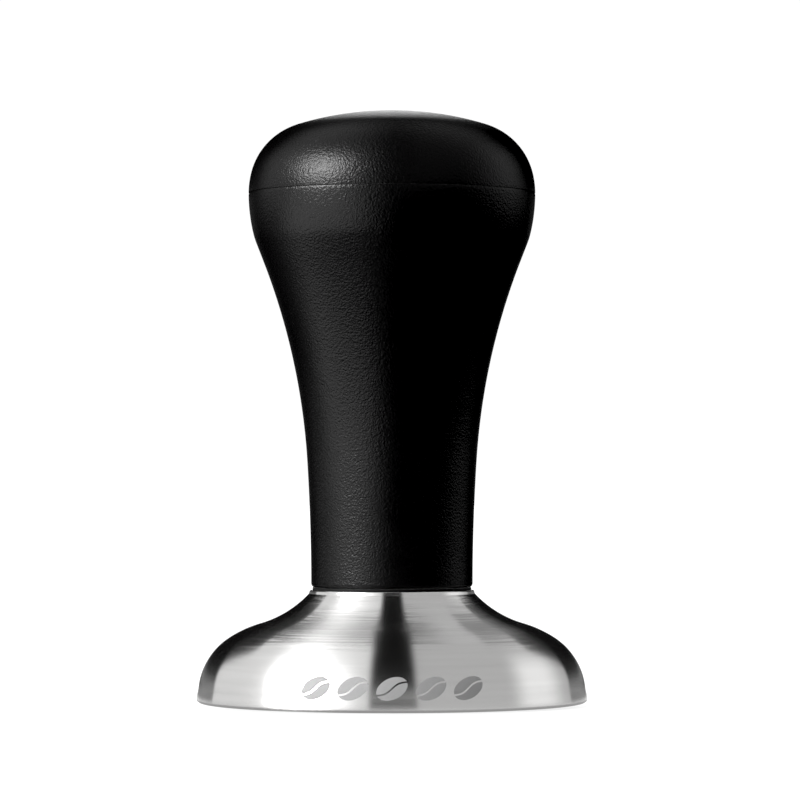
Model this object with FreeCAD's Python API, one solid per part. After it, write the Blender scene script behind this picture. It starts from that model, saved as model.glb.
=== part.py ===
"""Espresso tamper, 58 mm: a turned stainless base that screws onto the bolt of a hollow moulded handle.

Millimetres, +Z up. The origin is the centre of the flat tamping face, which lies on z = 0, and the
object is turned about the Z axis. Each function below makes one separate piece of the tamper.
"""
import FreeCAD, Part
import math
import os

from FreeCAD import Vector

# ---- driving dimensions ----------------------------------------------------------------------
BASE_D = 58.0               # tamping face, the standard commercial filter basket
BASE_LAND_H = 1.15          # full-diameter land at the foot of the base
BASE_EDGE_CHAMFER = 0.3
BASE_STEP = 0.16            # the body of the base is turned this much smaller than its land
BASE_LEAN = -3.07           # lean of the rim where it leaves the land
BASE_CURVE = (              # (radius, lean at the end) of each tangent arc, from the land upward
    (14.15, -10.46), (10.0, -57.1), (17.43, -73.78), (16.17, -43.1))
BASE_TOP_BEVEL_R = 12.34    # foot of the small bevel round the top edge
BASE_TOP_BEVEL_Z = 16.12
BASE_TOP_R = 12.2
BASE_TOP_Z = 16.6

GASKET_T = 0.45
GASKET_R = 11.8

HANDLE_FOOT_R = 12.01
HANDLE_FOOT_ROUND = 0.6
STEM_CURVE = (              # hollow arcs of the stem and the neck, as in BASE_CURVE
    (298.4, 3.62), (99.1, 21.22))
NECK_RUN = 2.99             # straight stretch between the neck and the head
HEAD_CURVE = (              # bulging arcs: shoulder, side of the head, then the edge of the dome
    (11.02, 13.37), (25.77, 0), (12.39, -15.3), (9.9, -72.91))
HANDLE_WALL = 3.0
FLOOR_T = 9.0               # floor of the handle, from its underside to the weight
HANDLE_WIDEST_R = 21.35
JOINT_Z = 75.68             # the moulded body meets its cap at the widest diameter
JOINT_GROOVE = 0.12         # chamfer on each lip of that joint
MOUTH_R = 18.3              # bore of the body's mouth, which takes the cap's spigot
SPIGOT_H = 4.0
SPIGOT_WALL = 2.2
SPIGOT_GAP = 0.1
SPIGOT_END_GAP = 0.2        # between the end of the spigot and the shoulder below it

THREAD_R = 4.0              # M8 x 1.25
THREAD_PITCH = 1.25
THREAD_DEPTH = 0.61 * THREAD_PITCH
THREAD_FLANK = 30           # degrees between a flank and square to the axis
THREAD_PLAY = 0.1           # play between the bolt's thread and its mates
BORE_GAP = 0.2              # between the bolt's core and the bore of its mates
BOLT_LENGTH = 65.0
BOLT_TIP_Z = 6.1
BOLT_THREAD_LENGTH = 28.0
BOLT_HEAD_R = 6.5
BOLT_HEAD_H = 8.0
BOLT_HEAD_CHAMFER = 0.5
BOLT_TIP_CHAMFER = 0.8
BOLT_SHANK_R = 3.9
BOLT_RIDGE_STOP = 0.3       # the thread ends this far below the plain shank
BOLT_HEX_FLATS = 6.0
BOLT_HEX_DEPTH = 4.0
BOLT_HOLE_R = 4.3           # clearance hole for the bolt

BASE_BORE_DEPTH = 11.6      # full-diameter depth of the tapped hole
BASE_THREAD_RUNOUT = 1.0    # plain bore below the thread
BASE_THREAD_SLEEVE_R = 6.0  # the thread is cut in a cylinder this wide, which is part of the base
BASE_BORE_MOUTH_R = 4.4     # countersunk mouth of the tapped hole
DRILL_TIP_SLOPE = 31        # degrees, slope of the drilled cone at the bottom of the hole
NUT_FLATS = 13.0
NUT_H = 4.0
NUT_INSET = 0.2             # the nut sits this far above the handle's underside
NUT_POCKET_PLAY = 0.12
NUT_FACE_R = 6.4            # flat ring left by the chamfers on the nut's corners
NUT_CORNER_R = 7.9
WASHER_R = 8.0
WASHER_BORE_R = 4.2
WASHER_T = 1.6
SPRING_R = 7.4
SPRING_BORE_R = 4.1
SPRING_T = 2.0
SPRING_SPLIT = 1.2
SPRING_SPLIT_SLANT = 25     # degrees
WEIGHT_R = 8.5
WEIGHT_BORE_R = 4.5
WEIGHT_CHAMFER = 0.8
RIB_COUNT = 6
RIB_T = 1.6
RIB_ROOT = 0.5              # how deep a rib is rooted in the wall that carries it
RIB_WEIGHT_GAP = 0.12
CAP_RIB_COUNT = 4
CAP_RIB_SETBACK = 0.5       # the cap's ribs stop this far above the end of its boss
CAP_ROOM_H = 20.0           # more than the height of the room inside the dome
CAP_BOSS_R = 7.5
CAP_BOSS_WALL = 2.0
STACK_GAP = 0.05            # between the bolt's head and the boss of the cap

# ---- heights of the stack, worked out from the dimensions above --------------------------------
HANDLE_Z = BASE_TOP_Z + GASKET_T
NUT_Z = HANDLE_Z + NUT_INSET
FLOOR_Z = HANDLE_Z + FLOOR_T
HEAD_Z = BOLT_TIP_Z + BOLT_LENGTH
SPRING_Z = HEAD_Z - SPRING_T
WASHER_Z = SPRING_Z - WASHER_T
HEAD_TOP_Z = HEAD_Z + BOLT_HEAD_H

OVERRUN = 0.5               # how far a cutting shape is drawn past the face that it cuts
ENVELOPE_R = 60.0           # wider than any piece
EDGE_TOLERANCE = 0.01       # for finding the edges that lie on a face

AXIS = Vector(0, 0, 1)
ORIGIN = Vector(0, 0, 0)


# ---- outlines ------------------------------------------------------------------------------------
class Outline:
    """A smooth outline in the XZ plane, drawn as lines and tangent arcs.

    lean is the direction of travel in degrees from straight up, positive when it leans outward.
    """

    def __init__(self, r, z, lean):
        self.r, self.z, self.lean = r, z, lean
        self.edges = []

    def point(self):
        return Vector(self.r, 0, self.z)

    def line_to(self, r, z):
        start = self.point()
        self.r, self.z = r, z
        self.edges.append(Part.LineSegment(start, self.point()).toShape())

    def run(self, length):
        lean = math.radians(self.lean)
        self.line_to(self.r + length * math.sin(lean), self.z + length * math.cos(lean))

    def at_lean(self, radius, lean):
        """The point where an arc of this radius, from here, reaches the given lean."""
        side = 1 if lean > self.lean else -1
        here, there = math.radians(self.lean), math.radians(lean)
        r = self.r + side * radius * (math.cos(here) - math.cos(there))
        z = self.z + side * radius * (math.sin(there) - math.sin(here))
        return r, z

    def arc(self, radius, lean):
        """A tangent arc of this radius that turns until it leans by the given angle."""
        start = self.point()
        middle_r, middle_z = self.at_lean(radius, (self.lean + lean) / 2)
        self.r, self.z = self.at_lean(radius, lean)
        self.lean = lean
        middle = Vector(middle_r, 0, middle_z)
        self.edges.append(Part.Arc(start, middle, self.point()).toShape())

    def arc_to_axis(self):
        """A tangent arc whose centre is on the axis, so that it crosses the axis square."""
        self.arc(self.r / math.cos(math.radians(self.lean)), -90)


def turned(edges):
    """The solid swept by a closed outline turning about the Z axis."""
    face = Part.Face(Part.Wire(Part.__sortEdges__(edges)))
    return face.revolve(ORIGIN, AXIS, 360)


def polygon(points):
    corners = [Vector(r, 0, z) for r, z in points]
    return Part.makePolygon(corners + corners[:1]).Edges


def ring(r_in, r_out, z, height):
    outer = Part.makeCylinder(r_out, height, Vector(0, 0, z))
    return outer.cut(Part.makeCylinder(r_in, height, Vector(0, 0, z)))


def hexagon(flats, z, height):
    corner = flats / math.sqrt(3)
    corners = [Vector(corner * math.cos(a), corner * math.sin(a), z)
               for a in (math.radians(60 * i) for i in range(7))]
    return Part.Face(Part.makePolygon(corners)).extrude(Vector(0, 0, height))


def handle_outline(inset):
    """The handle's outer curve from its foot to the top of its dome, moved inward by inset.

    Hollow arcs grow by the inset and bulging arcs shrink, so the moved curve stays smooth and
    parallel to the outside.
    """
    curve = Outline(HANDLE_FOOT_R - inset, HANDLE_Z, 0)
    for radius, lean in STEM_CURVE:
        curve.arc(radius + inset, lean)
    curve.run(NECK_RUN)
    for radius, lean in HEAD_CURVE:
        curve.arc(radius - inset, lean)
    curve.arc_to_axis()
    return curve


def handle_solid(inset):
    """The whole handle as one solid block, moved inward by inset."""
    curve = handle_outline(inset)
    foot = Outline(curve.r, curve.z, 0)
    foot.line_to(0, HANDLE_Z)
    foot.line_to(HANDLE_FOOT_R - inset, HANDLE_Z)
    return turned(curve.edges + foot.edges)


def slab(z_low, z_high, r=ENVELOPE_R):
    return Part.makeCylinder(r, z_high - z_low, Vector(0, 0, z_low))


# ---- screw threads -------------------------------------------------------------------------------
def thread_ridge(z_low, z_high, offset):
    """A right-handed 60 degree thread ridge. offset moves its faces outward, for cutting a nut.

    Every ridge is in step with z = 0, so a bolt and its mates mesh as drawn.
    """
    crest = THREAD_PITCH / 8
    crest_r = THREAD_R - THREAD_PLAY / 2 + offset
    root_r = crest_r - THREAD_DEPTH - THREAD_PLAY
    half_crest = crest / 2 + offset / 2
    half_root = half_crest + (crest_r - root_r) * math.tan(math.radians(THREAD_FLANK))
    first_turn = math.floor(z_low / THREAD_PITCH) * THREAD_PITCH
    helix = Part.makeHelix(THREAD_PITCH, z_high - first_turn, root_r)
    profile = [Vector(root_r, 0, -half_root), Vector(crest_r, 0, -half_crest),
               Vector(crest_r, 0, half_crest), Vector(root_r, 0, half_root)]
    sweep = Part.Wire(helix.Edges).makePipeShell([Part.makePolygon(profile + profile[:1])], True, True)
    sweep.translate(Vector(0, 0, first_turn))
    return sweep.common(slab(z_low, z_high, 2 * THREAD_R))


def male_core_r():
    """Radius of a threaded shank under its ridge, a little above the foot of the ridge."""
    return THREAD_R - THREAD_PLAY / 2 - THREAD_DEPTH


def tap(solid, z_low, z_high):
    """Bores the solid along the axis and cuts the groove of a thread into the bore's wall."""
    bore = Part.makeCylinder(male_core_r() + BORE_GAP, z_high - z_low, Vector(0, 0, z_low))
    groove = thread_ridge(z_low, z_high, THREAD_PLAY)
    return solid.cut(bore).cut(groove)


# ---- pieces ----------------------------------------------------------------------------------------
def tamping_base():
    """Turned stainless base: flat face, short land, rounded rim, hollow flare, blind tapped hole."""
    land_r = BASE_D / 2
    body_r = land_r - BASE_STEP
    curve = Outline(body_r, BASE_LAND_H, BASE_LEAN)
    for radius, lean in BASE_CURVE:
        curve.arc(radius, lean)
    curve.line_to(BASE_TOP_BEVEL_R, BASE_TOP_BEVEL_Z)
    curve.line_to(BASE_TOP_R, BASE_TOP_Z)
    curve.line_to(0, BASE_TOP_Z)
    curve.line_to(0, 0)
    curve.line_to(land_r - BASE_EDGE_CHAMFER, 0)
    curve.line_to(land_r, BASE_EDGE_CHAMFER)
    curve.line_to(land_r, BASE_LAND_H)
    curve.line_to(body_r, BASE_LAND_H)
    solid = turned(curve.edges)

    bore_r = male_core_r() + BORE_GAP
    bottom = BASE_TOP_Z - BASE_BORE_DEPTH
    tip_h = bore_r * math.tan(math.radians(DRILL_TIP_SLOPE))
    blind_end = Part.makeCylinder(bore_r, BASE_TOP_Z - bottom, Vector(0, 0, bottom))
    blind_end = blind_end.fuse(Part.makeCone(0, bore_r, tip_h, Vector(0, 0, bottom - tip_h)))
    thread_z = bottom + BASE_THREAD_RUNOUT
    room = Part.makeCylinder(BASE_THREAD_SLEEVE_R, BASE_TOP_Z - thread_z, Vector(0, 0, thread_z))
    threaded = tap(room, thread_z - OVERRUN, BASE_TOP_Z + OVERRUN)
    mouth_h = BASE_BORE_MOUTH_R - bore_r
    mouth = Part.makeCone(bore_r, BASE_BORE_MOUTH_R, mouth_h, Vector(0, 0, BASE_TOP_Z - mouth_h))
    threaded = threaded.cut(mouth)
    return solid.cut(blind_end).cut(room).fuse(threaded).removeSplitter()


def base_gasket():
    """Thin black washer between the base and the handle."""
    return ring(BOLT_HOLE_R, GASKET_R, BASE_TOP_Z, GASKET_T)


def handle_body():
    """Moulded lower part of the handle: hollow, with a thick floor, ribs and a pocket for the nut."""
    outside = handle_solid(0).common(slab(HANDLE_Z, JOINT_Z))
    foot_edges = [e for e in outside.Edges if e.BoundBox.ZMax < HANDLE_Z + EDGE_TOLERANCE]
    outside = outside.makeFillet(HANDLE_FOOT_ROUND, foot_edges)
    cavity = handle_solid(HANDLE_WALL).common(slab(FLOOR_Z, JOINT_Z - SPIGOT_H))
    mouth = Part.makeCylinder(MOUTH_R, SPIGOT_H + OVERRUN, Vector(0, 0, JOINT_Z - SPIGOT_H))
    body = outside.cut(cavity).cut(mouth).cut(lip_groove(-1))

    rib_top = WASHER_Z - WEIGHT_CHAMFER
    rib_foot = FLOOR_Z - RIB_ROOT
    ribs = ring(WEIGHT_R + RIB_WEIGHT_GAP, MOUTH_R, rib_foot, rib_top - rib_foot)
    blades = [Part.makeBox(2 * MOUTH_R, RIB_T, 2 * rib_top, Vector(0, -RIB_T / 2, 0))
              for _ in range(RIB_COUNT)]
    for i, blade in enumerate(blades):
        blade.rotate(ORIGIN, AXIS, 360 * i / RIB_COUNT)
    ribs = ribs.common(blades[0].multiFuse(blades[1:]))
    ribs = ribs.common(handle_solid(HANDLE_WALL - RIB_ROOT))
    body = body.fuse(ribs)

    below = HANDLE_Z - OVERRUN
    pocket = hexagon(NUT_FLATS + 2 * NUT_POCKET_PLAY, below, NUT_Z + NUT_H - below)
    bolt_hole = Part.makeCylinder(BOLT_HOLE_R, FLOOR_T + 2 * OVERRUN, Vector(0, 0, below))
    return body.cut(pocket).cut(bolt_hole).removeSplitter()


def lip_groove(side):
    """Half of the fine V groove at the joint of the handle: side -1 is the body's, +1 the cap's."""
    clear_r = HANDLE_WIDEST_R + OVERRUN
    clear_z = JOINT_Z + side * (JOINT_GROOVE + OVERRUN)
    return turned(polygon([(HANDLE_WIDEST_R - JOINT_GROOVE, JOINT_Z), (clear_r, JOINT_Z),
                           (clear_r, clear_z)]))


def handle_cap():
    """Moulded dome of the handle, with a spigot that plugs into the body and a ribbed boss inside."""
    outside = handle_solid(0).common(slab(JOINT_Z, HEAD_TOP_Z + CAP_ROOM_H))
    spigot_z = JOINT_Z - SPIGOT_H + SPIGOT_END_GAP
    spigot = Part.makeCylinder(MOUTH_R - SPIGOT_GAP, JOINT_Z - spigot_z, Vector(0, 0, spigot_z))
    hollow_r = MOUTH_R - SPIGOT_GAP - SPIGOT_WALL
    hollow = Part.makeCylinder(hollow_r, SPIGOT_H + CAP_ROOM_H, Vector(0, 0, JOINT_Z - SPIGOT_H))
    hollow = hollow.common(handle_solid(HANDLE_WALL))
    shell = outside.fuse(spigot).cut(hollow).cut(lip_groove(1))

    boss_z = HEAD_TOP_Z + STACK_GAP
    boss = ring(CAP_BOSS_R - CAP_BOSS_WALL, CAP_BOSS_R, boss_z, CAP_ROOM_H)
    blade_start = Vector(CAP_BOSS_R - 2 * RIB_ROOT, -RIB_T / 2, boss_z + CAP_RIB_SETBACK)
    blade_length = hollow_r + RIB_ROOT - blade_start.x
    blades = [Part.makeBox(blade_length, RIB_T, CAP_ROOM_H, blade_start)
              for _ in range(CAP_RIB_COUNT)]
    for i, blade in enumerate(blades):
        blade.rotate(ORIGIN, AXIS, 360 * (i + 0.5) / CAP_RIB_COUNT)
    inside = boss.multiFuse(blades).common(handle_solid(HANDLE_WALL - RIB_ROOT))
    return shell.fuse(inside).removeSplitter()


def tie_bolt():
    """M8 socket head bolt that holds the handle together and screws into the base."""
    core_r = male_core_r()
    thread_top = BOLT_TIP_Z + BOLT_THREAD_LENGTH
    core_z = BOLT_TIP_Z + BOLT_TIP_CHAMFER
    tip = Part.makeCone(core_r - BOLT_TIP_CHAMFER, core_r, BOLT_TIP_CHAMFER, Vector(0, 0, BOLT_TIP_Z))
    core = Part.makeCylinder(core_r, thread_top - core_z, Vector(0, 0, core_z))
    ridge = thread_ridge(core_z, thread_top - BOLT_RIDGE_STOP, 0)
    threaded = tip.fuse(core).fuse(ridge)
    shank = Part.makeCylinder(BOLT_SHANK_R, HEAD_Z - thread_top, Vector(0, 0, thread_top))
    head = Part.makeCylinder(BOLT_HEAD_R, BOLT_HEAD_H, Vector(0, 0, HEAD_Z))
    rim = [e for e in head.Edges if e.BoundBox.ZMin > HEAD_TOP_Z - EDGE_TOLERANCE]
    head = head.makeChamfer(BOLT_HEAD_CHAMFER, rim)
    socket = hexagon(BOLT_HEX_FLATS, HEAD_TOP_Z - BOLT_HEX_DEPTH, BOLT_HEX_DEPTH + OVERRUN)
    return threaded.fuse(shank).fuse(head.cut(socket)).removeSplitter()


def clamp_nut():
    """Thin M8 nut in the handle's underside, which keeps the bolt tight when the base is off."""
    top = NUT_Z + NUT_H
    corner_h = (NUT_CORNER_R - NUT_FACE_R) * math.tan(math.radians(30))
    envelope = turned(polygon([(0, NUT_Z), (NUT_FACE_R, NUT_Z), (NUT_CORNER_R, NUT_Z + corner_h),
                               (NUT_CORNER_R, top - corner_h), (NUT_FACE_R, top), (0, top)]))
    blank = hexagon(NUT_FLATS, NUT_Z, NUT_H).common(envelope)
    return tap(blank, NUT_Z - OVERRUN, top + OVERRUN)


def steel_weight():
    """Turned steel slug round the bolt. It gives the handle its heft and carries the palm's push."""
    r, c = WEIGHT_R, WEIGHT_CHAMFER
    return turned(polygon([
        (WEIGHT_BORE_R, FLOOR_Z), (r - c, FLOOR_Z), (r, FLOOR_Z + c),
        (r, WASHER_Z - c), (r - c, WASHER_Z), (WEIGHT_BORE_R, WASHER_Z)]))


def flat_washer():
    return ring(WASHER_BORE_R, WASHER_R, WASHER_Z, WASHER_T)


def spring_washer():
    """Split lock washer, drawn flat as it is when the bolt is tight."""
    gap = Part.makeBox(SPRING_R, SPRING_SPLIT, 2 * SPRING_T,
                       Vector(1, -SPRING_SPLIT / 2, SPRING_Z - SPRING_T / 2))
    gap.rotate(Vector(SPRING_R, 0, SPRING_Z), Vector(1, 0, 0), SPRING_SPLIT_SLANT)
    return ring(SPRING_BORE_R, SPRING_R, SPRING_Z, SPRING_T).cut(gap)


PIECES = (tamping_base, base_gasket, handle_body, handle_cap, tie_bolt, clamp_nut,
          steel_weight, flat_washer, spring_washer)


def main():
    os.makedirs("parts", exist_ok=True)
    for make in PIECES:
        shape = make()
        if not shape.isValid():
            raise ValueError(make.__name__ + " is not a valid solid")
        shape.exportStep(os.path.join("parts", make.__name__ + ".step"))
        print(make.__name__, "solids", len(shape.Solids), "volume", round(shape.Volume, 1))


main()
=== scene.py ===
"""Visual model of the espresso tamper: turned steel base, grained black handle, pale studio.

Metres, +Z up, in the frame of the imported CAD. The outer skins of the base, the gasket and the handle
are lathed here with finer curves than the CAD meshes; the hidden hardware keeps its CAD meshes.
"""
import math

import bpy
import numpy as np
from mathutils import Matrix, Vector


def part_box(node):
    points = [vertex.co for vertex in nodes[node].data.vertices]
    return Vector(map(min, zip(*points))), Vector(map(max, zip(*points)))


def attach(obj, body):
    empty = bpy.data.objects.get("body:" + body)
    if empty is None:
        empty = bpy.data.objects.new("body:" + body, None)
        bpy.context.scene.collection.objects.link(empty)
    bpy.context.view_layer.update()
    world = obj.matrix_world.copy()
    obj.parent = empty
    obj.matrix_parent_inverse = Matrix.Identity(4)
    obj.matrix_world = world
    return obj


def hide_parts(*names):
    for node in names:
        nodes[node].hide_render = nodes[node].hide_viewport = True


MM = 0.001

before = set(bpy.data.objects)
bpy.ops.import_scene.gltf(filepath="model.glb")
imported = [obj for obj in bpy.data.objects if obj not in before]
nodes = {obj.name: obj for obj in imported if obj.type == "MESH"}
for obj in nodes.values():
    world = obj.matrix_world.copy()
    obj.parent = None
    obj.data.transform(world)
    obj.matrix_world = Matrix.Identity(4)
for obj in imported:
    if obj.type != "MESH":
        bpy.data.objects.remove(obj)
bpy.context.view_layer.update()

# ---- sizes, in millimetres ----------------------------------------------------------------------
LATHE_STEPS = 384               # columns round the axis of a lathed skin
GASKET_STEPS = 192
ARC_STEP = 1.2                  # degrees of turn between two points of an arc, at most
ARC_STRETCH = 0.8               # distance between two points of an arc, at most
ARC_PARTS = 3                   # parts of an arc, at least
ON_AXIS = 1e-6                  # a row of a lathed skin narrower than this is one point
SHARP_ANGLE = 28                # degrees between two faces whose edge is drawn sharp

FACE_RINGS = (4, 10, 18, 24, 28)
FACE_INSET = 0.42               # from the widest radius of the base to the edge of its flat face
FACE_EDGE_ROUND = 0.1
FACE_EDGE_LEAN = 52
LAND_FOOT = ((0.04, 0.25), (0.0, 0.4))      # (inset from the widest radius, height)
LAND_STRAIGHT_TOP = 0.55
LAND_H = 1.15
LAND_BLEND = ((0.025, 0.9), (0.09, 1.3))    # where the land melts into the rim
LAND_BLEND_TOP = 1.75
RIM_INSET = 0.16
RIM_LEAN = -3.07
BASE_CURVE = ((14.15, -10.46), (10.0, -57.1), (17.43, -73.78), (16.17, -43.1))
BEVEL_FOOT = (12.34, 16.12)
BEVEL_TOP_R = 12.23
BEVEL_ROUND = (0.09, 0.08)      # (inset, height) of the rounding at the bevel's top
BASE_TOP_RINGS = (10.0, 7.5)

PITCH = 1.25                    # M8 thread
BORE_R = 3.34
GROOVE_R = 4.03
CREST_W = 0.23
ROOT_W = 1.0
BORE_DEPTH = 11.6
BORE_MOUTH = 0.37               # 45 degree countersink above the thread
BORE_MOUTH_ROUND = (0.05, 0.03)
THREAD_ROW_H = 0.1
THREAD_FADE_H = 0.6
DRILL_TIP_H = 2.0

GASKET_ROUND = 0.08
GASKET_ROUND_MID = 0.3          # inset of the rounding's middle point, as a share of GASKET_ROUND
GASKET_RING_R = 8.0

STEM_CURVE = ((298.4, 3.62), (99.1, 21.22))
NECK_RUN = 2.99
HEAD_CURVE = ((11.02, 13.37), (25.77, 0))
DOME_CURVE = ((12.39, -15.3), (9.9, -72.91))
FOOT_R = 12.01
FOOT_ROUND = 0.6
FOOT_ROUND_LEAN = 2
FOOT_RING_R = 9.5
WALL = 3.0
FLOOR_T = 9.0
SPIGOT_H = 4.0
SPIGOT_GAP = 0.2
SPIGOT_R = 18.2
SPIGOT_WALL = 2.2
MOUTH_R = 18.3
MOUTH_CHAMFER = 0.1
BOLT_HOLE_R = 4.3
POCKET_FLATS = 13.24
POCKET_CHAMFER = 0.08

RING_BELOW = 0.30               # the fine ring at the joint of the two mouldings: its lower flank,
RING_ABOVE = 0.10               # its upper flank
RING_DEPTH = 0.05               # and its depth, with a narrow slit at the bottom
RING_SLIT = 0.02
RING_ROUND = ((0.0, 0.05), (0.006, -0.03))      # (inset, distance out of the ring) at its two edges
OUTLINE_GAP = 0.2               # an outline's points stop this far from a separate feature


# ---- outlines -------------------------------------------------------------------------------------
class Outline:
    """Points of a smooth outline, as lines and tangent arcs. lean is degrees outward from straight up."""

    def __init__(self, r, z, lean):
        self.r, self.z, self.lean = r, z, lean
        self.points = [(r, z)]

    def to(self, r, z, parts=1):
        start_r, start_z = self.r, self.z
        for i in range(1, parts + 1):
            t = i / parts
            self.points.append((start_r + (r - start_r) * t, start_z + (z - start_z) * t))
        self.r, self.z = r, z

    def run(self, length, parts=4):
        lean = math.radians(self.lean)
        self.to(self.r + length * math.sin(lean), self.z + length * math.cos(lean), parts)

    def arc(self, radius, lean):
        side = 1 if lean > self.lean else -1
        turn = abs(lean - self.lean)
        stretch = math.radians(turn) * radius
        count = max(ARC_PARTS, math.ceil(turn / ARC_STEP), math.ceil(stretch / ARC_STRETCH))
        start, r0, z0 = math.radians(self.lean), self.r, self.z
        for i in range(1, count + 1):
            here = start + (math.radians(lean) - start) * i / count
            self.r = r0 + side * radius * (math.cos(start) - math.cos(here))
            self.z = z0 + side * radius * (math.sin(here) - math.sin(start))
            self.points.append((self.r, self.z))
        self.lean = lean

    def arc_to_axis(self):
        self.arc(self.r / math.cos(math.radians(self.lean)), -90)
        self.points[-1] = (0.0, self.z)


def lathe(name, rows, steps=LATHE_STEPS, close=False):
    """A mesh turned about Z. Each row is (r, z) in mm; either may be an array, one value per column."""
    angle = np.arange(steps) * 2 * math.pi / steps
    verts, faces = [], []
    count = 0
    first = previous = None
    if close:
        rows = list(rows) + [rows[0]]
    for i, (r, z) in enumerate(rows):
        if close and i == len(rows) - 1:
            current = first
        elif np.isscalar(r) and r < ON_AXIS:
            verts.append(np.array([[0.0, 0.0, z]]))
            current = np.full(steps, count)
            count += 1
        else:
            r, z = np.broadcast_to(r, steps), np.broadcast_to(z, steps)
            verts.append(np.stack([r * np.cos(angle), r * np.sin(angle), z], 1))
            current = count + np.arange(steps)
            count += steps
        if first is None:
            first = current
        if previous is not None:
            faces += band_of_faces(previous, current)
        previous = current
    mesh = bpy.data.meshes.new(name)
    mesh.from_pydata((np.concatenate(verts) * MM).tolist(), [], faces)
    return shown(name, mesh)


def band_of_faces(a, b):
    """Faces between two rows of a lathed skin. A row on the axis has the same point in every column."""
    a2, b2 = np.roll(a, -1), np.roll(b, -1)
    if a[0] == a[1]:
        corners = [a, b2, b]
    elif b[0] == b[1]:
        corners = [a, a2, b]
    else:
        corners = [a, a2, b2, b]
    return np.stack(corners, 1).tolist()


def shown(name, mesh):
    mesh.validate()
    mesh.shade_smooth()
    mesh.set_sharp_from_angle(angle=math.radians(SHARP_ANGLE))
    piece = bpy.data.objects.new(name, mesh)
    bpy.context.scene.collection.objects.link(piece)
    return piece


# ---- places from the CAD --------------------------------------------------------------------------
def height(node, end):
    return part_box(node)[end].z / MM


def widest(node):
    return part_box(node)[1].x / MM


BASE_R = widest("tamping_base")
BASE_TOP = height("tamping_base", 1)
FOOT_Z = height("handle_body", 0)
JOINT_Z = height("handle_body", 1)
FLOOR_Z = FOOT_Z + FLOOR_T
POCKET_Z = height("clamp_nut", 1)


# ---- base -----------------------------------------------------------------------------------------
def base_outline():
    curve = Outline(0, 0, 90)
    for r in FACE_RINGS + (BASE_R - FACE_INSET,):
        curve.to(r, 0)
    curve.arc(FACE_EDGE_ROUND, FACE_EDGE_LEAN)
    for inset, z in LAND_FOOT:
        curve.to(BASE_R - inset, z)
    curve.to(BASE_R, LAND_STRAIGHT_TOP, 3)
    for inset, z in LAND_BLEND:
        curve.to(BASE_R - inset, z)
    rim = Outline(BASE_R - RIM_INSET, LAND_H, RIM_LEAN)
    for radius, lean in BASE_CURVE:
        rim.arc(radius, lean)
    curve.points += [p for p in rim.points if p[1] > LAND_BLEND_TOP]
    curve.to(*BEVEL_FOOT)
    inset, drop = BEVEL_ROUND
    curve.to(BEVEL_TOP_R, BASE_TOP - drop, 3)
    curve.to(BEVEL_TOP_R - inset, BASE_TOP)
    return curve.points


def thread_radius(z, steps):
    """Radius of a tapped bore at height z, one value per column: the wall, cut by a 60 degree groove."""
    turn = np.arange(steps) / steps
    phase = (z / PITCH - turn + 0.5) % 1.0 - 0.5
    distance = np.abs(phase) * PITCH
    share = np.clip((ROOT_W / 2 - distance) / (ROOT_W / 2 - CREST_W / 2), 0, 1)
    return BORE_R + (GROOVE_R - BORE_R) * share


def make_base():
    mouth_r = GROOVE_R + BORE_MOUTH
    inset, drop = BORE_MOUTH_ROUND
    rows = base_outline()
    rows += [(r, BASE_TOP) for r in BASE_TOP_RINGS]
    rows += [(mouth_r + inset, BASE_TOP), (mouth_r, BASE_TOP - drop)]
    bottom = BASE_TOP - BORE_DEPTH
    start = BASE_TOP - BORE_MOUTH
    count = int((start - bottom) / THREAD_ROW_H)
    for i in range(count + 1):
        z = start - (start - bottom) * i / count
        fade = min(1.0, (z - bottom) / THREAD_FADE_H)
        r = thread_radius(z, LATHE_STEPS)
        rows.append((BORE_R + (r - BORE_R) * fade, z))
    rows.append((0.0, bottom - DRILL_TIP_H))
    return lathe("turned_base", rows)


# ---- gasket ---------------------------------------------------------------------------------------
def make_gasket():
    low, high = height("base_gasket", 0), height("base_gasket", 1)
    r_out = widest("base_gasket")
    c, m = GASKET_ROUND, GASKET_ROUND * GASKET_ROUND_MID
    rows = [(BOLT_HOLE_R, low + c), (BOLT_HOLE_R + c, low), (GASKET_RING_R, low), (r_out - c, low),
            (r_out - m, low + m), (r_out, low + c), (r_out, high - c),
            (r_out - m, high - m), (r_out - c, high), (GASKET_RING_R, high),
            (BOLT_HOLE_R + c, high), (BOLT_HOLE_R, high - c)]
    return lathe("gasket_ring", rows, GASKET_STEPS, close=True)


# ---- handle ---------------------------------------------------------------------------------------
def handle_curve(inset):
    """Outline of the handle moved inward by inset, up to the joint of its two mouldings."""
    curve = Outline(FOOT_R - inset, FOOT_Z, 0)
    for radius, lean in STEM_CURVE:
        curve.arc(radius + inset, lean)
    curve.run(NECK_RUN)
    for radius, lean in HEAD_CURVE:
        curve.arc(radius - inset, lean)
    return curve


def ring_flank(head_r, side, flank):
    """Half of the fine ring, from its edge to its bottom. side is -1 for the body, 1 for the cap."""
    edge = [(head_r - inset, JOINT_Z + side * (flank + out)) for inset, out in RING_ROUND]
    slit = [(head_r - RING_DEPTH, JOINT_Z + side * RING_SLIT), (head_r - RING_DEPTH - RING_SLIT, JOINT_Z)]
    return edge + slit


def hexagon_radius(flats, steps):
    """Radius of a hexagon with a corner on the X axis, one value per column."""
    angle = np.arange(steps) * 2 * math.pi / steps
    sector = math.pi / 3
    return flats / 2 / np.cos(angle % sector - sector / 2)


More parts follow.
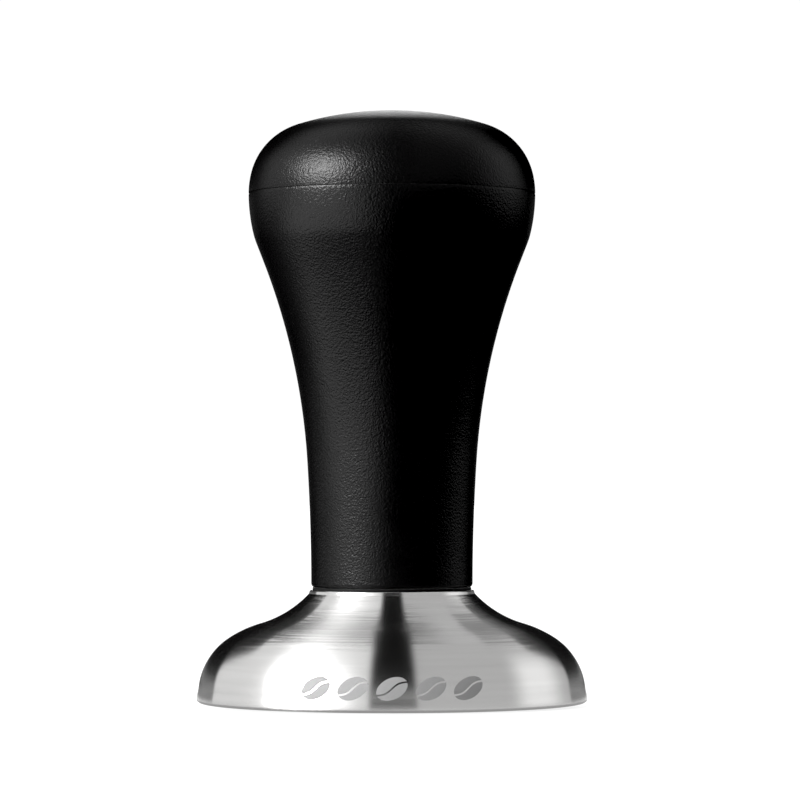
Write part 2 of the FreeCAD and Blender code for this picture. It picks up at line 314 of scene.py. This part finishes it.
def make_handle_body():
    head_r = handle_curve(0).r
    foot = Outline(FOOT_R - FOOT_ROUND, FOOT_Z, 90)
    foot.arc(FOOT_ROUND, FOOT_ROUND_LEAN)
    low, high = FOOT_Z + FOOT_ROUND, JOINT_Z - RING_BELOW - OUTLINE_GAP
    outside = [p for p in handle_curve(0).points if low < p[1] < high]
    mouth = [(MOUTH_R + MOUTH_CHAMFER, JOINT_Z), (MOUTH_R, JOINT_Z - MOUTH_CHAMFER),
             (MOUTH_R, JOINT_Z - SPIGOT_H)]
    inside = [p for p in handle_curve(WALL).points if FLOOR_Z < p[1] < JOINT_Z - SPIGOT_H]
    floor = [(inside[0][0], FLOOR_Z), (BOLT_HOLE_R, FLOOR_Z), (BOLT_HOLE_R, POCKET_Z)]
    pocket_r = hexagon_radius(POCKET_FLATS, LATHE_STEPS)
    pocket = [(pocket_r, POCKET_Z), (pocket_r, FOOT_Z + POCKET_CHAMFER),
              (pocket_r + POCKET_CHAMFER, FOOT_Z), (FOOT_RING_R, FOOT_Z)]
    skin = foot.points + outside + ring_flank(head_r, -1, RING_BELOW) + mouth
    hollow = inside[::-1] + floor + pocket
    return lathe("handle_moulding", skin + hollow, close=True)


def make_handle_cap():
    head_r = handle_curve(0).r
    curve = Outline(head_r, JOINT_Z, 0)
    inner = Outline(head_r - WALL, JOINT_Z, 0)
    for radius, lean in DOME_CURVE:
        curve.arc(radius, lean)
        inner.arc(radius - WALL, lean)
    curve.arc_to_axis()
    inner.arc_to_axis()
    outside = [p for p in curve.points if p[1] > JOINT_Z + RING_ABOVE + OUTLINE_GAP]
    hollow_r = SPIGOT_R - SPIGOT_WALL
    inside = [p for p in inner.points if p[0] < hollow_r - OUTLINE_GAP]
    spigot_z = JOINT_Z - SPIGOT_H + SPIGOT_GAP
    spigot = [(hollow_r, spigot_z), (SPIGOT_R, spigot_z), (SPIGOT_R, JOINT_Z)]
    flank = ring_flank(head_r, 1, RING_ABOVE)[::-1]
    return lathe("dome_moulding", inside[::-1] + spigot + flank + outside)


# ---- etched motif ---------------------------------------------------------------------------------
MOTIF_LIFT = 0.015
MOTIF_Z = 3.45
BEAN_COUNT = 5
BEAN_GAP = 5.6
BEAN_LONG = 2.35                # half the length of a bean
BEAN_SHORT = 1.5                # half its width
BEAN_TILT = 24
CREASE_BOW = 0.26
CREASE_HALF_W = 0.13
LONG_PARTS = 28
SHORT_PARTS = 6
RIM_INNER_R = 20


def rim_at(z, outline):
    """Radius of the base's outline at height z, on its rim."""
    for (r0, z0), (r1, z1) in zip(outline, outline[1:]):
        if z0 <= z <= z1 and z1 > z0 and r0 > RIM_INNER_R:
            return r0 + (r1 - r0) * (z - z0) / (z1 - z0)
    return outline[0][0]


def bean_point(centre, t, share, half, outline):
    """A point on half a bean: t along it from -1 to 1, share across it from the crease to the edge."""
    edge = half * BEAN_SHORT * math.sqrt(max(0.0, 1 - t * t))
    crease = CREASE_BOW * math.sin(math.pi * t) + half * CREASE_HALF_W
    crease = max(-abs(edge), min(abs(edge), crease))
    u, v = BEAN_LONG * t, crease + (edge - crease) * share
    tilt = math.radians(BEAN_TILT)
    x = centre + u * math.cos(tilt) - v * math.sin(tilt)
    z = MOTIF_Z + u * math.sin(tilt) + v * math.cos(tilt)
    r = rim_at(z, outline) + MOTIF_LIFT
    angle = x / r - math.pi / 2
    return r * math.cos(angle) * MM, r * math.sin(angle) * MM, z * MM


def make_motif():
    """A row of plain coffee beans, each two half ellipses either side of a curved crease."""
    outline = base_outline()
    verts, faces = [], []
    row = SHORT_PARTS + 1
    for bean in range(BEAN_COUNT):
        centre = (bean - (BEAN_COUNT - 1) / 2) * BEAN_GAP
        for half in (-1, 1):
            start = len(verts)
            for i in range(LONG_PARTS + 1):
                t = math.cos(math.pi * i / LONG_PARTS)
                for j in range(row):
                    verts.append(bean_point(centre, t, j / SHORT_PARTS, half, outline))
            for i in range(LONG_PARTS):
                for j in range(SHORT_PARTS):
                    a = start + i * row + j
                    quad = (a, a + 1, a + row + 1, a + row)
                    faces.append(quad if half < 0 else quad[::-1])
    mesh = bpy.data.meshes.new("etched_beans")
    mesh.from_pydata(verts, [], faces)
    return shown("etched_beans", mesh)


# ---- materials ------------------------------------------------------------------------------------
class Nodes:
    """Short way to write a node tree. add returns a node, and the other methods an output of one."""

    def __init__(self, tree):
        self.tree = tree
        tree.nodes.clear()

    def add(self, kind, inputs=(), **settings):
        node = self.tree.nodes.new(kind)
        for key, value in settings.items():
            setattr(node, key, value)
        for key, value in dict(inputs).items():
            if isinstance(value, bpy.types.NodeSocket):
                self.tree.links.new(value, node.inputs[key])
            else:
                node.inputs[key].default_value = value
        return node

    def math(self, operation, a, b=0.0):
        return self.add("ShaderNodeMath", {0: a, 1: b}, operation=operation).outputs[0]

    def total(self, *parts):
        result = parts[0]
        for part in parts[1:]:
            result = self.math("ADD", result, part)
        return result

    def product(self, *parts):
        result = parts[0]
        for part in parts[1:]:
            result = self.math("MULTIPLY", result, part)
        return result

    def scaled(self, value, times, plus):
        inputs = {0: value, 1: times, 2: plus}
        return self.add("ShaderNodeMath", inputs, operation="MULTIPLY_ADD").outputs[0]

    def place(self):
        return self.add("ShaderNodeTexCoord").outputs["Object"]

    def vector(self, x, y, z):
        return self.add("ShaderNodeCombineXYZ", {0: x, 1: y, 2: z}).outputs[0]

    def split(self, vector):
        return self.add("ShaderNodeSeparateXYZ", {0: vector}).outputs

    def flat_length(self, x, y):
        return self.math("SQRT", self.total(self.product(x, x), self.product(y, y)))

    def heading(self, x, y):
        """Degrees round from the Y axis towards the X axis."""
        return self.product(self.math("ARCTAN2", x, y), math.degrees(1))

    def vector_math(self, operation, a, b=None):
        """a is a vector, and so is b where there is one, except that SCALE has a number there."""
        inputs = {0: a}
        if b is not None:
            inputs["Scale" if operation == "SCALE" else 1] = b
        outputs = self.add("ShaderNodeVectorMath", inputs, operation=operation).outputs
        return outputs["Value" if operation in ("DOT_PRODUCT", "LENGTH") else "Vector"]

    def ramp(self, value, low, high, out_low=0.0, out_high=1.0):
        """Smooth step from out_low at low to out_high at high."""
        node = self.add("ShaderNodeMapRange", {0: value, 1: low, 2: high, 3: out_low, 4: out_high},
                        interpolation_type="SMOOTHERSTEP")
        return node.outputs[0]

    def noise(self, vector, scale, detail=2.0, rough=0.5):
        node = self.add("ShaderNodeTexNoise", {"Vector": vector, "Scale": scale, "Detail": detail,
                                               "Roughness": rough})
        return node.outputs[0]

    def mix(self, factor, a, b):
        node = self.add("ShaderNodeMix", {0: factor, 6: a, 7: b}, data_type="RGBA")
        return node.outputs[2]

    def bump(self, level, distance, strength):
        inputs = {"Height": level, "Distance": distance, "Strength": strength}
        return self.add("ShaderNodeBump", inputs).outputs[0]

    def surface(self, inputs):
        shader = self.add("ShaderNodeBsdfPrincipled", inputs).outputs[0]
        self.add("ShaderNodeOutputMaterial", {0: shader})
        return shader


def new_material(name):
    material = bpy.data.materials.new(name)
    material.use_nodes = True
    return material, Nodes(material.node_tree)


def grey(level):
    return (level, level, level, 1.0)


# Noise scales are in features per millimetre for the turned steel and per metre for the rest.
FLARE_START = (8.5, 8.75)       # mm up the base, where the smooth rim gives way to the rougher flare


def turned_steel():
    """Stainless steel turned on a lathe: rings tilt the surface up and down, never round."""
    material, n = new_material("turned_steel_look")
    x, y, z = n.split(n.place())
    radius = n.flat_length(x, y)
    radius_mm, z_mm = n.product(radius, 1 / MM), n.product(z, 1 / MM)
    turn = n.math("ARCTAN2", x, y)
    streaks = n.noise(n.vector(radius_mm, z_mm, n.product(turn, 0.6)), scale=2.6, detail=3.0, rough=0.65)
    broad = n.noise(n.vector(radius_mm, z_mm, turn), scale=0.9)
    fine = n.noise(n.vector(radius_mm, z_mm, n.product(turn, 3.0)), scale=24.0, detail=1.0)

    flare = n.ramp(z_mm, *FLARE_START)
    fine_tilt = n.product(n.math("SUBTRACT", fine, 0.5), n.scaled(flare, times=0.4, plus=0.15))
    streak_tilt = n.product(n.math("SUBTRACT", streaks, 0.5), n.scaled(flare, times=0.75, plus=0.06))
    normal = n.add("ShaderNodeNewGeometry").outputs["Normal"]
    round_z = n.vector(n.math("DIVIDE", n.product(y, -1.0), radius), n.math("DIVIDE", x, radius), 0.0)
    uphill = n.vector_math("CROSS_PRODUCT", normal, round_z)
    shift = n.vector_math("SCALE", uphill, n.total(fine_tilt, streak_tilt))
    leaning = n.vector_math("NORMALIZE", n.vector_math("ADD", normal, shift))

    tangent = n.add("ShaderNodeTangent", direction_type="RADIAL", axis="Z").outputs[0]
    colour = n.mix(broad, (0.68, 0.675, 0.67, 1), (0.77, 0.767, 0.76, 1))
    rough = n.scaled(streaks, times=0.05, plus=0.17)
    n.surface({"Base Color": colour, "Metallic": 1.0, "Roughness": rough, "Anisotropic": 1.0,
               "Anisotropic Rotation": 0.25, "Tangent": tangent, "Normal": leaning})
    return material


SHEEN_FACING = (0.25, 0.65, 0.01, 0.15)     # sheen by how squarely the surface faces the viewer
CROWN_UPWARD = (0.955, 0.985)               # the crown is where the normal points up this much,
CROWN_GRAZING = (0.18, 0.32, 1.0, 0.0)      # and it has extra sheen where it is seen edge-on


def black_moulding():
    """Black moulded plastic with a fine leathery grain."""
    material, n = new_material("black_moulding_look")
    place = n.place()
    cells = n.add("ShaderNodeTexVoronoi", {"Vector": place, "Scale": 3100.0, "Randomness": 1.0},
                  feature="SMOOTH_F1").outputs[0]
    grain = n.noise(place, scale=4200.0, detail=1.0)
    wear = n.noise(place, scale=90.0, detail=4.0, rough=0.6)
    level = n.total(n.product(cells, 0.7), grain)

    geometry = n.add("ShaderNodeNewGeometry").outputs
    facing = n.vector_math("DOT_PRODUCT", geometry["Normal"], geometry["Incoming"])
    upward = n.split(geometry["Normal"])[2]
    crown = n.product(n.ramp(upward, *CROWN_UPWARD), n.ramp(facing, *CROWN_GRAZING))
    sheen = n.total(n.ramp(facing, *SHEEN_FACING), crown)

    colour = n.mix(wear, grey(0.0012), (0.0030, 0.0029, 0.0030, 1))
    rough = n.scaled(wear, times=0.10, plus=0.25)
    bump = n.bump(level, distance=0.0001, strength=0.52)
    n.surface({"Base Color": colour, "Roughness": rough, "Specular IOR Level": sheen, "Normal": bump})
    return material


def gasket_rubber():
    material, n = new_material("black_gasket_look")
    speck = n.noise(n.place(), scale=2600.0, detail=3.0)
    rough = n.scaled(speck, times=0.2, plus=0.5)
    bump = n.bump(speck, distance=0.00002, strength=0.5)
    n.surface({"Base Color": grey(0.003), "Roughness": rough, "Specular IOR Level": 0.1, "Normal": bump})
    return material


def hardware_steel(name, tone, roughness):
    """Plated or bare steel of the hidden hardware, with faint machining marks and darker clouds."""
    material, n = new_material(name)
    place = n.place()
    marks = n.noise(place, scale=900.0, detail=4.0, rough=0.6)
    cloud = n.noise(place, scale=160.0, detail=3.0)
    darker = tuple(0.8 * part for part in tone)
    colour = n.mix(cloud, tone + (1,), darker + (1,))
    rough = n.scaled(marks, times=0.18, plus=roughness)
    bump = n.bump(marks, distance=0.00001, strength=0.5)
    n.surface({"Base Color": colour, "Metallic": 1.0, "Roughness": rough, "Normal": bump})
    return material


def etched_steel():
    """Frosted steel of the etched motif."""
    material, n = new_material("etched_steel_look")
    frost = n.noise(n.place(), scale=9000.0)
    colour = n.mix(frost, grey(0.17), grey(0.23))
    bump = n.bump(frost, distance=0.00002, strength=0.3)
    n.surface({"Base Color": colour, "Metallic": 0.35, "Roughness": 0.7, "Normal": bump})
    return material


# ---- studio ---------------------------------------------------------------------------------------
# Directions go by the lathed surface that shows them to the front camera, in degrees: turn is how
# far round from the front its normal points, and rise is how far up.
# Softboxes: (start, end, fade at the start, fade at the end, strength).
LEFT_BOX = (-80, -6.5, 2, 1.5, 0.9)
LEFT_GLOW = (-38, -14, 12, 8, 1.3)
RIGHT_BOX = (7.0, 80, 1.5, 2, 0.56)
RIGHT_GLOW = (41, 58, 6, 8, 0.55)
CEILING_LEFT = (-44, -7.6, 14, 2, 0.48)
CEILING_LEFT_GLOW = (-34, -18, 8, 10, 0.24)
CEILING_RIGHT = (8.2, 60, 2, 14, 0.26)
CEILING_RIGHT_GLOW = (18, 35.5, 12, 1, 0.33)
KEY_TURN = (-36, -22, 6, 6, 50.0)
KEY_RISE = (9, 20, 5, 5, 1.0)
# Ramps: (from, to, value at from, value at to), of side for SIDE_END and of rise for the rest.
LEFT_GLOW_FADE = (24, 34, 1.0, 0.2)
RIGHT_GLOW_FADE = (25, 45, 1.0, 0.0)
SIDE_NARROWING = (18, 50, 0.0, 15.0)
SIDE_END = (64.8, 67.2, 1.0, 0.0)
WALL_END = (55, 58, 1.0, 0.0)
CEILING_START = (55, 58, 0.0, 1.0)
CEILING_END = (76, 79, 1.0, 0.0)
BACKDROP_START = (76, 82, 0.0, 2.8)
BACKDROP_END = (83, 87, 1.0, 0.15)
TABLE_END = (8, 14, 0.25, 0.0)
AMBIENT = 0.012
CAMERA_WHITE = 1.03             # the background as the camera sees it


def band(n, value, low, high, soft_low, soft_high, power):
    """power between low and high, with a smooth fade across each of them."""
    up = n.ramp(value, low - soft_low, low + soft_low)
    down = n.ramp(value, high - soft_high, high + soft_high, 1.0, 0.0)
    return n.product(up, down, power)


def studio_light(n, turn, rise):
    """Softboxes left and right of a dark strip, a ceiling, a backdrop over the top and a key light."""
    left_glow = n.product(band(n, turn, *LEFT_GLOW), n.ramp(rise, *LEFT_GLOW_FADE))
    right_glow = n.product(band(n, turn, *RIGHT_GLOW), n.ramp(rise, *RIGHT_GLOW_FADE))
    wall = n.total(band(n, turn, *LEFT_BOX), left_glow, band(n, turn, *RIGHT_BOX), right_glow)
    side = n.total(n.math("ABSOLUTE", turn), n.ramp(rise, *SIDE_NARROWING))
    wall = n.product(wall, n.ramp(side, *SIDE_END), n.ramp(rise, *WALL_END))

    boxes = (CEILING_LEFT, CEILING_LEFT_GLOW, CEILING_RIGHT, CEILING_RIGHT_GLOW)
    ceiling = n.total(*[band(n, turn, *box) for box in boxes])
    ceiling = n.product(ceiling, n.ramp(rise, *CEILING_END), n.ramp(rise, *CEILING_START))

    backdrop = n.product(n.ramp(rise, *BACKDROP_START), n.ramp(rise, *BACKDROP_END))
    behind = n.math("MAXIMUM", n.ramp(rise, *TABLE_END), backdrop)
    soft = n.math("MAXIMUM", n.total(wall, ceiling), behind)
    key = n.product(band(n, turn, *KEY_TURN), band(n, rise, *KEY_RISE))
    return n.total(soft, key, AMBIENT)


def make_world():
    """White to the camera, the studio's lights to everything else."""
    world = bpy.data.worlds.new("studio")
    bpy.context.scene.world = world
    world.use_nodes = True
    n = Nodes(world.node_tree)
    x, y, z = n.split(n.add("ShaderNodeTexCoord").outputs["Generated"])
    towards = n.math("SUBTRACT", 1.0, y)
    turn = n.heading(x, towards)
    rise = n.heading(z, n.flat_length(x, towards))
    strength = studio_light(n, turn, rise)
    light = n.add("ShaderNodeBackground", {0: grey(1.0), 1: strength}).outputs[0]
    white = n.add("ShaderNodeBackground", {0: grey(1.0), 1: CAMERA_WHITE}).outputs[0]
    seen = n.add("ShaderNodeLightPath").outputs["Is Camera Ray"]
    shader = n.add("ShaderNodeMixShader", {0: seen, 1: light, 2: white}).outputs[0]
    n.add("ShaderNodeOutputWorld", {0: shader})


# The table. REACH and NEAR are metres from the axis; its angles are half of those round the axis.
TABLE_GREY = 0.12
TABLE_WHITE = 1.01              # the table as the camera sees it, before its shade
SHADE_REACH = (0.029, 0.037, 0.3, 0.0)
SHADE_FRONT = (0.1, 0.8)
NEAR_START = (0.0295, 0.032, 0.4, 0.85)
NEAR_END = (0.05, 0.09, 1.0, 0.14)
NEAR_SIDE = (58, 66, 1.0, 0.6)
PATCH_TURN = (-47, -11, 5, 5, 3.5)
PATCH_REACH = (0.11, 0.18)
TABLE_HALF = 3.0
TABLE_DROP = 0.00002


def table_material():
    """Almost pure white to the camera, with a soft shade in front of the base.

    To other rays it is bright close to the base, darker further off, with a lit patch on the left.
    """
    material, n = new_material("table_white")
    place = n.place()
    x, y, _ = n.split(place)
    reach = n.vector_math("LENGTH", place)
    front = n.product(n.math("DIVIDE", y, reach), -1.0)
    shade = n.product(n.ramp(reach, *SHADE_REACH), n.ramp(front, *SHADE_FRONT))
    white = n.math("SUBTRACT", TABLE_WHITE, shade)
    diffuse = n.add("ShaderNodeBsdfDiffuse", {0: grey(TABLE_GREY)}).outputs[0]
    glow = n.add("ShaderNodeEmission", {0: grey(1.0), 1: white}).outputs[0]
    to_camera = n.add("ShaderNodeAddShader", {0: diffuse, 1: glow}).outputs[0]

    half_turn = n.product(n.heading(x, n.product(y, -1.0)), 0.5)
    near = n.product(n.ramp(reach, *NEAR_START), n.ramp(reach, *NEAR_END),
                     n.ramp(n.math("ABSOLUTE", half_turn), *NEAR_SIDE))
    patch = n.product(band(n, half_turn, *PATCH_TURN), n.ramp(reach, *PATCH_REACH))
    to_others = n.add("ShaderNodeEmission", {0: grey(1.0), 1: n.total(near, patch)}).outputs[0]
    seen = n.add("ShaderNodeLightPath").outputs["Is Camera Ray"]
    shader = n.add("ShaderNodeMixShader", {0: seen, 1: to_others, 2: to_camera}).outputs[0]
    n.add("ShaderNodeOutputMaterial", {0: shader})
    return material


def make_table():
    mesh = bpy.data.meshes.new("table")
    corners = ((-1, -1), (1, -1), (1, 1), (-1, 1))
    mesh.from_pydata([(x * TABLE_HALF, y * TABLE_HALF, 0) for x, y in corners], [], [(0, 1, 2, 3)])
    mesh.materials.append(table_material())
    table = bpy.data.objects.new("table", mesh)
    table.location.z = -TABLE_DROP
    bpy.context.scene.collection.objects.link(table)


CAMERA_PLACE = (0.0, -0.618, 0.0352)    # metres
CAMERA_AIM = (0.0012, 0.0, 0.0449)
CAMERA_CLIP = 0.01
CAMERA_LENS = 186.75                    # millimetres, as is the sensor's width
CAMERA_SENSOR = 36.0


def make_camera():
    data = bpy.data.cameras.new("camera")
    data.lens = CAMERA_LENS
    data.sensor_width = CAMERA_SENSOR
    data.clip_start = CAMERA_CLIP
    camera = bpy.data.objects.new("camera", data)
    camera.location = CAMERA_PLACE
    aim = Vector(CAMERA_AIM) - camera.location
    camera.rotation_euler = aim.to_track_quat("-Z", "Y").to_euler()
    bpy.context.scene.collection.objects.link(camera)
    bpy.context.scene.camera = camera


BLACK_LEVEL = 0.0072            # light below this shows as pure black
INDIRECT_CLAMP = 1.5            # keeps sparkles out of the steel


def set_tones():
    scene = bpy.context.scene
    view = scene.view_settings
    view.view_transform = "Standard"
    view.use_curve_mapping = True
    view.curve_mapping.black_level = (BLACK_LEVEL, BLACK_LEVEL, BLACK_LEVEL)
    view.curve_mapping.update()
    scene.cycles.sample_clamp_indirect = INDIRECT_CLAMP


# ---- assembly -------------------------------------------------------------------------------------
def dress(piece, material):
    """piece wears the material."""
    piece.data.materials.clear()
    piece.data.materials.append(material)


def stand_for(piece, node, body):
    """piece takes the place of the CAD node and moves with the body."""
    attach(piece, body)
    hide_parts(node)


base, gasket = make_base(), make_gasket()
handle, dome = make_handle_body(), make_handle_cap()
stand_for(base, "tamping_base", "base")
stand_for(gasket, "base_gasket", "gasket")
stand_for(handle, "handle_body", "handle")
stand_for(dome, "handle_cap", "handle")
motif = make_motif()
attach(motif, "base")

plastic = black_moulding()
dress(base, turned_steel())
dress(gasket, gasket_rubber())
dress(handle, plastic)
dress(dome, plastic)
dress(motif, etched_steel())

plated = hardware_steel("plated_steel_look", (0.60, 0.61, 0.63), 0.18)
bare = hardware_steel("bare_steel_look", (0.42, 0.42, 0.42), 0.30)
sprung = hardware_steel("sprung_steel_look", (0.30, 0.29, 0.28), 0.35)
for node in ("tie_bolt", "clamp_nut", "flat_washer"):
    dress(nodes[node], plated)
dress(nodes["steel_weight"], bare)
dress(nodes["spring_washer"], sprung)

# Mirrored in the base, the dark handle and what it holds would blacken the top of the flare.
for piece in [handle, dome, gasket] + list(nodes.values()):
    piece.visible_glossy = False

make_world()
make_table()
make_camera()
set_tones()
